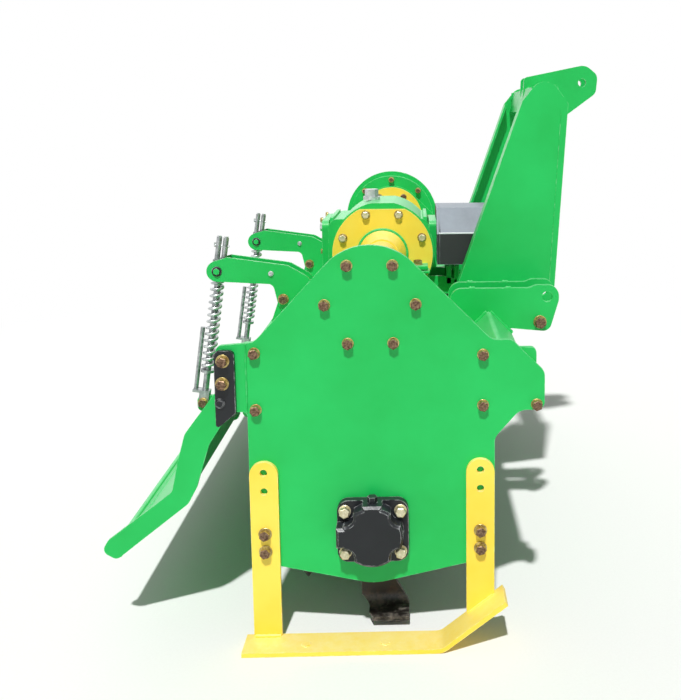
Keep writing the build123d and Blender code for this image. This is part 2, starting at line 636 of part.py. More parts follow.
def spring_arm(side):
    """One spring arm: two cranked plates with a foot bolted to the hood and a swivel at the end."""
    face = outline(
        # x, z, corner radius
        (PIVOT_X, PIVOT_Z - ARM_END_R, 0),
        (STOOL_X - 50, HOOD_TOP_Z + 78, 14),
        (STOOL_X - 40, HOOD_TOP_Z + 34, 8),
        (STOOL_X - 24, HOOD_TOP_Z + 4, 8),
        (STOOL_X + 30, HOOD_TOP_Z + 4, 8),
        (STOOL_X + 38, HOOD_TOP_Z + 88, 30),
        (STOOL_X - 17, HOOD_TOP_Z + 120, 30),
        (PIVOT_X + ARM_END_R, PIVOT_Z + ARM_END_R + 8, 0),
        (PIVOT_X - 7, PIVOT_Z + ARM_END_R - 1, 0),
    ) + Pos(PIVOT_X, PIVOT_Z) * Circle(ARM_END_R)
    face = face - Pos(PIVOT_X, PIVOT_Z) * Circle(SWIVEL_PIN_R + 0.05)
    face = face - Pos(STOOL_X - 54, HOOD_TOP_Z + 102) * Circle(4)
    arm = Part()
    for step in (-1, 1):
        inner = side * ARM_Y + step * ARM_GAP / 2
        arm += slab(face, *sorted((inner, inner + step * ARM_T)))
    web = outline(
        # x, z, corner radius
        (STOOL_X - 40, HOOD_TOP_Z + 62, 0),
        (STOOL_X - 40, HOOD_TOP_Z + 68, 0),
        (STOOL_X + 24, HOOD_TOP_Z + 82, 0),
        (STOOL_X + 24, HOOD_TOP_Z + 76, 0),
    )
    return arm + slab(web, side * ARM_Y - ARM_GAP / 2, side * ARM_Y + ARM_GAP / 2)


def along_rod(side, distance):
    """A plane across the rod, so far above the swivel's middle."""
    lean = math.radians(ROD_ANGLE)
    up = (math.sin(lean), 0, math.cos(lean))
    origin = (PIVOT_X + distance * up[0], side * ARM_Y, PIVOT_Z + distance * up[2])
    return Plane(origin=origin, x_dir=(0, 1, 0), z_dir=up)


def swivel(side):
    """The block in the arm's end that the rod slides through."""
    block = across(SWIVEL_R, side * ARM_Y - SWIVEL_HALF, side * ARM_Y + SWIVEL_HALF, PIVOT_X, PIVOT_Z)
    reach = ARM_GAP / 2 + ARM_T
    block += across(SWIVEL_PIN_R, side * ARM_Y - reach, side * ARM_Y + reach, PIVOT_X, PIVOT_Z)
    return block - extrude(along_rod(side, -40) * Circle(ROD_R + 0.5), amount=80)


def spring_rod(side):
    """The rod: a double end with its stop plate, the collar under the spring and a forked eye."""
    foot = -(ROD_RUN - FORK_RISE)
    stop = SWIVEL_R + GAP
    rod = extrude(along_rod(side, foot) * Circle(ROD_R), amount=stop - foot)
    rod += extrude(along_rod(side, stop) * Rectangle(STOP_W, 2 * (PRONG_X + PRONG_R) + 2), amount=STOP_T)
    for step in (-1, 1):
        rod += extrude(along_rod(side, stop) * Pos(0, step * PRONG_X) * Circle(PRONG_R), amount=ROD_TOP - stop)
    rod += extrude(along_rod(side, -SPRING_TOP - SPRING_LEN - COLLAR_T) * Circle(SPRING_R + 2), amount=COLLAR_T)
    strap_y = LUG_HALF_T + 0.6 + STRAP_T / 2
    for step in (-1, 1):
        strap = along_rod(side, -ROD_RUN - STRAP_W / 2) * Pos(step * strap_y, 0) * Rectangle(STRAP_T, STRAP_W)
        rod += extrude(strap, amount=STRAP_W / 2 + FORK_RISE + 2)
    bridge = 2 * strap_y + STRAP_T
    root = Pos(0, FORK_BRIDGE_X / 2) * Rectangle(bridge, STRAP_W + FORK_BRIDGE_X)
    rod += extrude(along_rod(side, foot) * root, amount=STRAP_T + 1)
    rod += extrude(along_rod(side, foot) * Pos(0, SIDE_BAR_X) * Circle(SIDE_BAR_R), amount=SIDE_BAR_LEN)
    return rod + across(EYE_PIN_R, side * ARM_Y - bridge / 2 - 3, side * ARM_Y + bridge / 2 + 3, EYE_X, EYE_Z)


def spring(side):
    """The coil spring between the swivel and the rod's collar, in short straight runs."""
    rise = SPRING_LEN - 2 * SPRING_WIRE_R - 1
    steps = SPRING_TURNS * COIL_STEPS
    turns = [2 * math.pi * i / COIL_STEPS for i in range(steps + 1)]
    path = Polyline(*[(SPRING_R * math.cos(a), SPRING_R * math.sin(a), rise * i / steps)
                      for i, a in enumerate(turns)])
    start = Plane(origin=path @ 0, z_dir=path % 0)
    coil = sweep(start * RegularPolygon(SPRING_WIRE_R, 6), path=path, transition=Transition.RIGHT)
    base = along_rod(side, -SPRING_TOP - SPRING_LEN + SPRING_WIRE_R + 0.5)
    return base.location * coil


def rotor_tube():
    """The rotor's tube, its flanges and the end shafts, turned as one."""
    end = PLATE_IN - ROTOR_END_GAP
    reach = PLATE_OUT + CAP_BORE_DEPTH - 2
    half = FLANGE_T / 2
    steps = [(0, -reach), (STUB_R, -reach), (STUB_R, -end), (TUBE_R, -end)]
    for y in flange_places():
        steps += [(TUBE_R, y - half), (FLANGE_R, y - half), (FLANGE_R, y + half), (TUBE_R, y + half)]
    steps += [(TUBE_R, end), (STUB_R, end), (STUB_R, reach), (0, reach)]
    return revolve(make_face(Polyline(*steps, close=True)), Axis.Y)


def flange_places():
    """Where each flange sits across the machine."""
    first = -(PLATE_IN - FLANGE_INSET)
    step = -2 * first / (FLANGES - 1)
    return [first + step * i for i in range(FLANGES)]


def tine(hand):
    """One tine pointing up: a flat shank, a bend and a blade to one side, where hand is +1 or -1."""
    half = TINE_W / 2
    seat = FLANGE_T / 2 + TINE_SEAT_GAP
    middle, end = seat + TINE_T / 2, seat + TINE_REACH
    tip_z = math.sqrt(TINE_R ** 2 - (half + TINE_SWEEP) ** 2)
    blade_z = tip_z - TINE_T / 2
    line = FilletPolyline((hand * middle, TINE_SEAT_R), (hand * middle, blade_z), (hand * end, blade_z),
                          radius=TINE_BEND_R - TINE_T / 2)
    back = Plane(origin=(-TINE_R, 0, 0), x_dir=(0, 1, 0), z_dir=(1, 0, 0))
    strip = extrude(back * trace_sheet(line, TINE_T), amount=2 * TINE_R)
    side_view = outline(
        # x, z, corner radius
        (-half, TINE_SEAT_R - 1, 10),
        (-half, tip_z - TINE_BLADE, 40),
        (-half - TINE_SWEEP, tip_z - TINE_T, 0),
        (-half - TINE_SWEEP, tip_z + 1, 0),
        (half - TINE_NOSE, tip_z + 1, 0),
        (half, tip_z - TINE_NOSE, 0),
        (half, TINE_SEAT_R - 1, 10),
    )
    plan = make_face(Polyline(
        (-half - TINE_SWEEP - 1, -hand * end), (half + 1, -hand * end), (half + 1, hand * (end - 2 * TINE_NOSE)),
        (half - TINE_NOSE, hand * (end + 1)), (-half - TINE_SWEEP - 1, hand * (end + 1)), close=True))
    return strip & slab(side_view, -end - 1, end + 1) & extrude(plan, amount=TINE_R + 1)


def tines(hand):
    """All the tines of one hand, spread over the flanges in a helix."""
    one = tine(hand)
    half_turn = 360 / TINES_PER_FLANGE
    start = 0 if hand > 0 else half_turn
    placed = []
    for number, y in enumerate(flange_places()):
        for turn in range(TINES_PER_FLANGE // 2):
            angle = start + 2 * half_turn * turn + HELIX_STEP * number
            placed.append(Pos(0, y, 0) * Rot(0, angle, 0) * one)
    return Compound([piece.solid() for piece in placed])


def keep(name, part):
    """Names a finished piece and moves it from the rotor's axis to the machine's origin."""
    NODES[name] = Pos(ROTOR_X, 0, GROUND_DROP) * part


def build():
    """Every piece, by name."""
    for word, side in (("right", -1), ("left", 1)):
        keep(f"side_plate_{word}", side_plate(side))
        keep(f"gearbox_cover_{word}", gearbox_cover(side))
        keep(f"cross_tube_{word}", cross_tube(side))
        keep(f"hitch_fork_{word}", hitch_fork(side))
        keep(f"mast_leg_{word}", mast_leg(side))
        keep(f"skid_{word}", skid(side))
        keep(f"hinge_bracket_{word}", bracket(side))
        keep(f"spring_arm_{word}", spring_arm(side))
        keep(f"swivel_{word}", swivel(side))
        keep(f"spring_rod_{word}", spring_rod(side))
        keep(f"spring_{word}", spring(side))
        keep(f"tines_{word}_hand", tines(side))
    keep("hood", hood())
    keep("bearing_cap", bearing_cap())
    keep("gear_case", gear_case())
    keep("gear_case_cover", gear_case_cover())
    keep("gearbox", gearbox())
    keep("filler_cap", filler_cap())
    keep("pto_shaft", pto_shaft())
    keep("pto_guard", pto_guard())
    keep("front_beam", front_beam())
    keep("mast_head", mast_head())
    keep("tailboard", tailboard())
    keep("rotor_tube", rotor_tube())


build()
os.makedirs("parts", exist_ok=True)
for name, part in NODES.items():
    export_step(part, f"parts/{name}.step")
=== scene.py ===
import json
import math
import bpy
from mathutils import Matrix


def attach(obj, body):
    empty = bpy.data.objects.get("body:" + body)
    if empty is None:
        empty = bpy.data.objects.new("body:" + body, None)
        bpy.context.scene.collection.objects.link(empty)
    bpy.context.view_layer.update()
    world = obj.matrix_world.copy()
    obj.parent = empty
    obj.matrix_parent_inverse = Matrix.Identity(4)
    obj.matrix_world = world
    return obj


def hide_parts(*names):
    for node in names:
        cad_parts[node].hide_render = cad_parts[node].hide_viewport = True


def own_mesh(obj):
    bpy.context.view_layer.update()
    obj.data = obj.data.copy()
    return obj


bl_info = {
    "name": "Rotary tiller finishing",
    "version": (1, 0, 0),
    "blender": (4, 5, 0),
    "location": "3D View > Sidebar > Tiller",
    "description": "Paint, bolts, welds, springs and stage for a rotary tiller",
    "category": "Object",
}

import bpy
from mathutils import Matrix, Vector

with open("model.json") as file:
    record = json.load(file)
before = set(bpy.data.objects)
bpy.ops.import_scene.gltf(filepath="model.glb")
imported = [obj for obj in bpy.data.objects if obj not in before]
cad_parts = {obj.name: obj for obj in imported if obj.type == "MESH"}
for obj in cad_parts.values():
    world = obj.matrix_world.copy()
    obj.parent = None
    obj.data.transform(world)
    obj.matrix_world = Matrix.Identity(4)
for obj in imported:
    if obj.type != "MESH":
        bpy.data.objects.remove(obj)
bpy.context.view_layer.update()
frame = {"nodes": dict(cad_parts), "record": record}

# Places are in millimetres from the middle of the rotor's axis, as in the CAD source, and
# those in y are of the left side where both sides are alike
MM = 0.001
ROTOR = Vector((-0.0191, 0.0, 0.207))
SIDES = ((-1, "right"), (1, "left"))
SIX = range(0, 360, 60)
EIGHT = [22.5 + 45 * i for i in range(8)]
WASHER_T = 2
RIPPLE = 5               # length of one ripple of a weld bead
DOUBLES = 1e-6           # points closer than this, in metres, are one

# Side plates and what is bolted to them; bolts are given as x, z
PLATE_OUT = 700          # outer face of each side plate
PAD_FACE = 682           # inner face of the hood's and the beam's end pads
TUBE_FACE = 680          # inner face of the cross tubes' end flanges
TUBE_BOLT_R = 79
SHAFT_Z = 405            # cross shaft above the rotor
PLATE_BOLTS = ((-202, 321), (-202, 220), (196, 314), (196, 223), (291, 223))
PAD_NUTS = ((196, 314), (196, 223), (-202, 220))
LEG_FACE = 708           # outer face of the skid legs and of the hinge brackets
LEG_BOLTS = ((-191, -5), (-191, -38), (191, -5), (191, -38))
BRACKET_BOLTS = ((-255, 310, 8), (-257, 270, 21))    # x, z and how far each is turned
CAP_FACE = 714           # outer face of the bearing cap's flange
CAP_BOLTS = ((-49, -38), (-49, 38), (49, -38), (49, 38))
CASE_FACE = 746          # outer face of the gear case's cover
CASE_HEAD_R = 140        # its bolt circle about the cross shaft
CASE_FOOT_R = 108        # its bolt circle about the rotor
CASE_WAIST = ((130, 275), (119, 135))
CASE_NUT_R = 124         # nuts on the left plate's inner side, about the cross shaft

# Gearbox and guard
COVER_FACE = 116         # outer face of the round side covers
COVER_BOLT_R = 102
NECK_R = 59              # seal round each cover's neck
LUG = (                  # the blocks of a lug: ends in x and y, lower side, height and bevel
    ((62, 108), (104, 158), 372, 10, 2),
    ((66, 104), (120, 154), 284, 82, 3),
    ((58, 112), (116, 160), 364, 6, 1),
)
LUG_BOLT = (84, 138, 382)
RIB_X = (-126, 98)
BACK_FACE = -146         # rear cover
BACK_BOLTS = [(y, z) for y in (-64, 64) for z in (328, 405, 482)]
LEVEL_PLUG = (-30, 462)
GUARD_FACE = 134.3       # front face of the guard's back plate
FLANGE_BOLTS = [(y, z) for y in (-58, 58) for z in (384, 462)]
GUARD_SECTION = ((-116, 378), (-116, 452), (-61, 508), (61, 508), (116, 452), (116, 378))
GUARD_X = (137, 260)     # its rear and front rims
FOLD = (116.2, 453)      # its upper side fold
STRUT_X = (154, 173)
STRUT_Y = 66

# Hitch and mast
HITCH_Y = 341.5          # middle of each fork
FORK_OUT = 41            # a fork plate's outer face from its middle
FORK_MID = 36            # middle of a fork plate
FORK_TOP = 370
HITCH_BOLT = (341, 297)
CREASE_Y = 215.1         # outer face of the mast's legs
SEAM_Y = (300, 311, 372, 383, 209, 215.5)   # faces of the forks' plates and of the mast's legs
BEAM_SEAMS = (((236, 320), (282, 274)), ((228, 320), (194, 286)))   # x, z down the beam's upper sides

# Rear board and its springs
HINGE = (-262, 235)
COLLAR_Y = (675.5, 691)  # ends of the collar on each hinge pin
BOARD_END = 667          # weld of the board's end plates
BOARD_RUNS = (((-47, -67), (-74, -170)), ((-88, -195), (-208, -287)))   # x, z from the hinge
BOARD_EDGES = ((-213, -289), (-12, -9))
EYE = (-406, 88)         # lower end of each spring rod
PIVOT = (-361, 392)      # swivel at the end of each spring arm
ARM_Y = 242              # middle of each spring arm
ARM_FACE = 25            # an arm plate's outer face from its middle
EYE_FACE = 10.6          # the same of the rod's eye
ARM_BOLT = (-216, 328)
ARM_SCREW = (-242, 386)
SPRING_LEN = 214
SPRING_TOP = 17          # spring's upper end below the swivel
ROD_UP = Vector((PIVOT[0] - EYE[0], 0, PIVOT[1] - EYE[1])).normalized()
ROD_BACK = Vector((-ROD_UP.z, 0, ROD_UP.x))

# Rotor
FLANGES = 8
FIRST_FLANGE = -608
FLANGE_STEP = 1216 / 7
HELIX_STEP = 22.5        # degrees from one flange to the next
FLANGE_FACE = 4          # from a flange's middle to its face
TINE_FACE = 12           # and to the outer face of a tine on it
TINE_BOLT_R = 72
TINE_BOLT_APART = 14     # half the distance between a tine's two bolts

# Camera, fitted to the photograph
CAMERA_PLACE = (0.0625, -2.183, 0.925)
CAMERA_TURN = (1.55, -7, 0.31)      # yaw, pitch and roll in degrees
CAMERA_LENS = 44.83
CAMERA_SHIFT = (-0.142, -0.173)

# Name, direction, strength and width in degrees of each lamp
LAMPS = (
    ("overhead", (0.06, 0.62, -1.0), 3.25, 2),
    ("front fill", (-0.3, 1, -0.15), 0.12, 60),
    ("back fill", (0.4, -1, -0.5), 0.5, 60),
)


# Small helpers

def linear(code):
    """An sRGB hex value as linear red, green and blue."""
    parts = [int(code[i:i + 2], 16) / 255 for i in (1, 3, 5)]
    return tuple(c / 12.92 if c <= 0.04045 else ((c + 0.055) / 1.055) ** 2.4 for c in parts)


def spot(x, y, z):
    """A place from the rotor's axis as a place in the scene."""
    return Vector((x, y, z)) * MM + ROTOR


def clear():
    """Leaves object mode with nothing selected."""
    if bpy.context.object and bpy.context.object.mode != "OBJECT":
        bpy.ops.object.mode_set(mode="OBJECT")
    bpy.ops.object.select_all(action="DESELECT")


def only(*objects):
    """Selects just these objects, the first one active."""
    clear()
    for obj in objects:
        obj.select_set(True)
    bpy.context.view_layer.objects.active = objects[0]


def pick_faces(obj, test):
    """Opens edit mode with only the faces selected that pass the test."""
    only(obj)
    bpy.context.tool_settings.mesh_select_mode = (False, False, True)
    for part in (*obj.data.vertices, *obj.data.edges):
        part.select = False
    for face in obj.data.polygons:
        face.select = test(face)
    bpy.ops.object.mode_set(mode="EDIT")


def modify(obj, kind, **settings):
    """Adds a modifier to a piece and applies it."""
    only(obj)
    modifier = obj.modifiers.new(kind.lower(), kind)
    for name, value in settings.items():
        setattr(modifier, name, value)
    bpy.ops.object.modifier_apply(modifier=modifier.name)


def close_mesh(merge=None):
    """Turns the faces of the piece in edit mode outwards, its doubles merged, and leaves edit mode."""
    bpy.ops.mesh.select_all(action="SELECT")
    if merge:
        bpy.ops.mesh.remove_doubles(threshold=merge)
    bpy.ops.mesh.normals_make_consistent(inside=False)
    bpy.ops.object.mode_set(mode="OBJECT")


def put(obj, name, body, finish, slot=None, smooth=35):
    """Finishes a piece: its place goes into its mesh, and it gets its name, paint and body."""
    if isinstance(obj, list):
        obj = join(obj)
    only(obj)
    bpy.ops.object.transform_apply(location=True, rotation=True, scale=True)
    bpy.ops.object.shade_smooth_by_angle(angle=math.radians(smooth))
    obj.name = name
    obj.data.name = name
    if finish:
        obj.data.materials.clear()
        obj.data.materials.append(MATERIALS[finish])
    slot = slot or SLOT_OF[finish]
    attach(obj, body)


def join(objects):
    """One piece made of several."""
    only(*objects)
    if len(objects) > 1:
        bpy.ops.object.join()
    return objects[0]


def set_out(pattern, places):
    """Copies of a pattern piece, each turned to face its way, joined into one."""
    made = []
    for point, facing, turn in places:
        one = pattern.copy()
        one.data = pattern.data.copy()
        bpy.context.collection.objects.link(one)
        turned = Vector(facing).to_track_quat("Z", "Y").to_matrix().to_4x4()
        spun = Matrix.Rotation(math.radians(turn), 4, "Z")
        one.matrix_world = Matrix.Translation(spot(*point)) @ turned @ spun
        made.append(one)
    bpy.data.objects.remove(pattern)
    return join(made)


def ring(radius, z, y, facing, angles):
    """Places round a circle on a face across the machine."""
    return [((radius * math.cos(math.radians(a)), y, z + radius * math.sin(math.radians(a))), facing, a * 3)
            for a in angles]


def slab(xs, ys, z, rise, edge):
    """A plate or block: its ends in x and in y, where it starts in z, its thickness and its bevel."""
    corners = ((xs[0], ys[0]), (xs[1], ys[0]), (xs[1], ys[1]), (xs[0], ys[1]))
    clear()
    bpy.ops.mesh.primitive_circle_add(vertices=4, radius=0.05, fill_type="NGON")
    obj = bpy.context.object
    for vertex, (x, y) in zip(obj.data.vertices, corners):
        vertex.co = spot(x, y, z)
    bpy.ops.object.mode_set(mode="EDIT")
    bpy.ops.mesh.select_all(action="SELECT")
    bpy.ops.mesh.extrude_region_move(TRANSFORM_OT_translate={"value": (0, 0, rise * MM)})
    close_mesh(merge=DOUBLES)
    modify(obj, "BEVEL", width=edge * MM, segments=2, limit_method="ANGLE", angle_limit=math.radians(30))
    return obj


def line(points, radius, ripple=0.0, sides=2):
    """A round bar through some points, or a weld bead where its thickness ripples."""
    places = [spot(*point) for point in points]
    if ripple:
        first, last = places[0], places[-1]
        count = max(4, int((last - first).length / (RIPPLE * MM)))
        places = [first.lerp(last, i / count) for i in range(count + 1)]
    clear()
    bpy.ops.curve.primitive_nurbs_path_add()
    shape = bpy.context.object.data
    shape.splines.clear()
    run = shape.splines.new("POLY")
    run.points.add(len(places) - 1)
    # Every other point is thicker, by an amount that wanders
    for i, (point, place) in enumerate(zip(run.points, places)):
        point.co = (*place, 1)
        point.radius = 1 + ripple * (0.5 if i % 2 else -0.5) * (0.6 + 0.4 * math.sin(i * 1.7))
    shape.dimensions = "3D"
    shape.bevel_depth = radius * MM
    shape.bevel_resolution = sides
    shape.use_fill_caps = True
    bpy.ops.object.convert(target="MESH")
    bpy.ops.object.mode_set(mode="EDIT")
    close_mesh(merge=DOUBLES)
    return bpy.context.object


def beads(name, body, runs, radius, finish="green"):
    """Weld beads between pairs of points, as one piece."""
    put([line(run, radius / MM, ripple=0.35) for run in runs], name, body, finish, smooth=60)


def hex_head(across, height, washer, tip, rim, middle):
    """A hexagon head on its washer, pointing up, its dished top in its own finish. A nut has a bolt's tip."""
    radius = across / 2 / math.cos(math.pi / 6) * MM
    clear()
    bpy.ops.mesh.primitive_cylinder_add(vertices=6, radius=radius, depth=height * MM,
                                        location=(0, 0, (height / 2 + WASHER_T) * MM))
    head = bpy.context.object
    # A chamfered rim round a shallow dish
    pick_faces(head, lambda face: face.normal.z > 0.9)
    bpy.ops.mesh.inset(thickness=radius * 0.16, depth=0)
    bpy.ops.transform.translate(value=(0, 0, height * 0.12 * MM))
    bpy.ops.mesh.inset(thickness=radius * 0.3, depth=-0.25 * MM)
    if tip:
        bpy.ops.mesh.inset(thickness=radius * 0.08, depth=0)
        bpy.ops.transform.translate(value=(0, 0, tip * MM))
    bpy.ops.object.mode_set(mode="OBJECT")
    for face in head.data.polygons:
        face.material_index = int(face.normal.z > 0.7)
    clear()
    bpy.ops.mesh.primitive_cylinder_add(vertices=20, radius=radius * washer, depth=WASHER_T * MM,
                                        location=(0, 0, WASHER_T / 2 * MM))
    disc = bpy.context.object
    modify(disc, "BEVEL", width=0.5 * MM, segments=1, limit_method="ANGLE", angle_limit=math.radians(40))
    for piece, finishes in ((head, (rim, middle)), (disc, (rim,))):
        for finish in finishes:
            piece.data.materials.append(MATERIALS[finish])
    only(head, disc)
    bpy.ops.object.transform_apply(location=True, rotation=True, scale=True)
    return join([head, disc])


def bolts(name, body, places, across=17, height=9, washer=1.1, tip=0.0, finish=("gold", "brown")):
    """A set of like bolts or nuts on one body."""
    pattern = hex_head(across, height, washer, tip, *finish)
    put(set_out(pattern, places), name, body, None, "zinc_steel", smooth=30)


# Materials

MATERIALS = {}

# The CAD's material slot that each finish goes with
SLOT_OF = {
    "green": "green_enamel", "yellow": "yellow_enamel", "black": "black_enamel", "guard": "guard_plastic",
    "tines": "tine_steel", "zinc": "zinc_steel", "shaft": "bright_steel",
}


def feed(tree, node, inputs):
    """Gives a node's inputs, by name or in their order, values and links. A node gives its first output."""
    for key, value in inputs.items() if isinstance(inputs, dict) else enumerate(inputs):
        socket = node.inputs[key]
        if isinstance(value, bpy.types.Node):
            value = value.outputs[0]
        if isinstance(value, bpy.types.NodeSocket):
            tree.links.new(value, socket)
        else:
            socket.default_value = (*value[:3], 1.0) if socket.type == "RGBA" else value


def add_node(tree, kind, inputs, **settings):
    """Adds a node with its settings, values and links."""
    node = tree.nodes.new(kind)
    for name, value in settings.items():
        setattr(node, name, value)
    feed(tree, node, inputs)
    return node


def start(name):
    """A new node material with its tree, its shader and its coordinates."""
    material = bpy.data.materials.new(name)
    material.use_nodes = True
    tree = material.node_tree
    coords = add_node(tree, "ShaderNodeTexCoord", {}).outputs["Object"]
    return material, tree, tree.nodes["Principled BSDF"], coords


def edge_mask(tree, coords, radius, patchy):
    """How far a point is on a sharp edge, broken up by a noise."""
    plain = add_node(tree, "ShaderNodeNewGeometry", {})
    rounded = add_node(tree, "ShaderNodeBevel", {"Radius": radius}, samples=4)
    facing = add_node(tree, "ShaderNodeVectorMath", (plain.outputs["Normal"], rounded),
                      operation="DOT_PRODUCT")
    edge = add_node(tree, "ShaderNodeMapRange", (facing.outputs["Value"], 0.99, 0.9))
    noise = add_node(tree, "ShaderNodeTexNoise", {"Vector": coords, "Scale": patchy, "Detail": 5.0})
    spots = add_node(tree, "ShaderNodeMapRange", (noise, 0.42, 0.6))
    return add_node(tree, "ShaderNodeMath", (edge, spots), operation="MULTIPLY")


def sprayed_enamel(name, colour, shade, edge, dust_and_top_light, gloss, peel=1.0):
    """Enamel sprayed on plate and castings: faint clouds of a darker tone, orange peel, edges lightened as a
    painted highlight with a little wear, and upward faces paler with dust and a painted highlight of the
    light from above.
    """
    material, tree, shader, coords = start(name)
    clouds = add_node(tree, "ShaderNodeTexNoise", {"Vector": coords, "Scale": 5.0, "Detail": 4.0,
                                                 "Roughness": 0.6})
    cloudy = add_node(tree, "ShaderNodeMapRange", (clouds, 0.35, 0.65))
    base = add_node(tree, "ShaderNodeMix", {0: cloudy, 6: colour, 7: shade}, data_type="RGBA").outputs[2]
    # Upward faces paler: dust, and a painted highlight where the light from above falls
    plain = add_node(tree, "ShaderNodeNewGeometry", {})
    facing = add_node(tree, "ShaderNodeSeparateXYZ", (plain.outputs["Normal"],))
    upward = add_node(tree, "ShaderNodeMapRange", (facing.outputs["Z"], 0.5, 0.95, 0.0, 0.5))
    grit = add_node(tree, "ShaderNodeTexNoise", {"Vector": coords, "Scale": 60.0, "Detail": 6.0,
                                                 "Roughness": 0.7})
    uneven = add_node(tree, "ShaderNodeMapRange", (grit, 0.3, 0.7, 0.4, 1.0))
    dust_and_top_light_mask = add_node(tree, "ShaderNodeMath", (upward, uneven), operation="MULTIPLY")
    base = add_node(tree, "ShaderNodeMix", {0: dust_and_top_light_mask, 6: base, 7: dust_and_top_light}, data_type="RGBA").outputs[2]
    # Sharp edges lighter: a painted highlight along them, with a little wear
    worn_and_highlit = edge_mask(tree, coords, 0.0022, 90.0)
    base = add_node(tree, "ShaderNodeMix", {0: worn_and_highlit, 6: base, 7: edge}, data_type="RGBA").outputs[2]
    rough = add_node(tree, "ShaderNodeMapRange", (grit, 0.3, 0.7, gloss, gloss + 0.12))
    # Orange peel of sprayed enamel has bumps about 3 mm across
    skin = add_node(tree, "ShaderNodeTexNoise", {"Vector": coords, "Scale": 330.0, "Detail": 2.0})
    waves = add_node(tree, "ShaderNodeTexNoise", {"Vector": coords, "Scale": 18.0, "Detail": 2.0})
    low = add_node(tree, "ShaderNodeBump", {"Height": waves, "Strength": 0.12, "Distance": 0.002})
    high = add_node(tree, "ShaderNodeBump", {"Height": skin, "Strength": 0.1 * peel, "Distance": 0.0006,
                                             "Normal": low})
    feed(tree, shader, {"Base Color": base, "Roughness": rough, "Normal": high,
                        "Specular IOR Level": 0.32, "Coat Weight": 0.05, "Coat Roughness": 0.15})
    MATERIALS[name] = material


def plated_steel(name, bright, dull, grain, gloss):
    """Zinc-plated steel: a soft metal sheen with cloudy patches of passivation."""
    material, tree, shader, coords = start(name)
    patch = add_node(tree, "ShaderNodeTexNoise", {"Vector": coords, "Scale": grain, "Detail": 5.0,
                                                  "Roughness": 0.65})
    cloudy = add_node(tree, "ShaderNodeMapRange", (patch, 0.35, 0.65))
    base = add_node(tree, "ShaderNodeMix", {0: cloudy, 6: bright, 7: dull}, data_type="RGBA").outputs[2]
    rough = add_node(tree, "ShaderNodeMapRange", (patch, 0.3, 0.7, gloss, gloss + 0.18))
    fine = add_node(tree, "ShaderNodeTexNoise", {"Vector": coords, "Scale": 900.0, "Detail": 2.0})
    bump = add_node(tree, "ShaderNodeBump", {"Height": fine, "Strength": 0.15, "Distance": 0.0003})
    feed(tree, shader, {"Base Color": base, "Roughness": rough, "Normal": bump, "Metallic": 0.85})
    MATERIALS[name] = material


def moulded_guard(name, colour, chalk_and_sky_sheen):
    """Polypropylene moulded in one piece: fine grain, upward faces pale grey with a painted sky reflection
    and some dust, and paler edges with a painted highlight and some rubbing.
    """
    material, tree, shader, coords = start(name)
    plain = add_node(tree, "ShaderNodeNewGeometry", {})
    facing = add_node(tree, "ShaderNodeSeparateXYZ", (plain.outputs["Normal"],))
    # Upward faces turn pale grey: a painted reflection of the sky, with some dust
    upward = add_node(tree, "ShaderNodeMapRange", (facing.outputs["Z"], 0.3, 0.65, 0.03, 0.85))
    clouds = add_node(tree, "ShaderNodeTexNoise", {"Vector": coords, "Scale": 14.0, "Detail": 6.0,
                                                 "Roughness": 0.65})
    uneven = add_node(tree, "ShaderNodeMapRange", (clouds, 0.3, 0.7, 0.72, 1.0))
    pale_mix = add_node(tree, "ShaderNodeMath", (upward, uneven), operation="MULTIPLY")
    base = add_node(tree, "ShaderNodeMix", {0: pale_mix, 6: colour, 7: chalk_and_sky_sheen}, data_type="RGBA").outputs[2]
    # Paler edges: a painted highlight, with some rubbing
    rubbed_and_highlit = edge_mask(tree, coords, 0.0025, 60.0)
    base = add_node(tree, "ShaderNodeMix", {0: rubbed_and_highlit, 6: base, 7: chalk_and_sky_sheen}, data_type="RGBA").outputs[2]
    rough = add_node(tree, "ShaderNodeMapRange", (clouds, 0.3, 0.7, 0.42, 0.6))
    # Moulding grain of about 1 mm
    grain = add_node(tree, "ShaderNodeTexNoise", {"Vector": coords, "Scale": 1000.0, "Detail": 3.0})
    bump = add_node(tree, "ShaderNodeBump", {"Height": grain, "Strength": 0.2, "Distance": 0.0004})
    feed(tree, shader, {"Base Color": base, "Roughness": rough, "Normal": bump})
    MATERIALS[name] = material


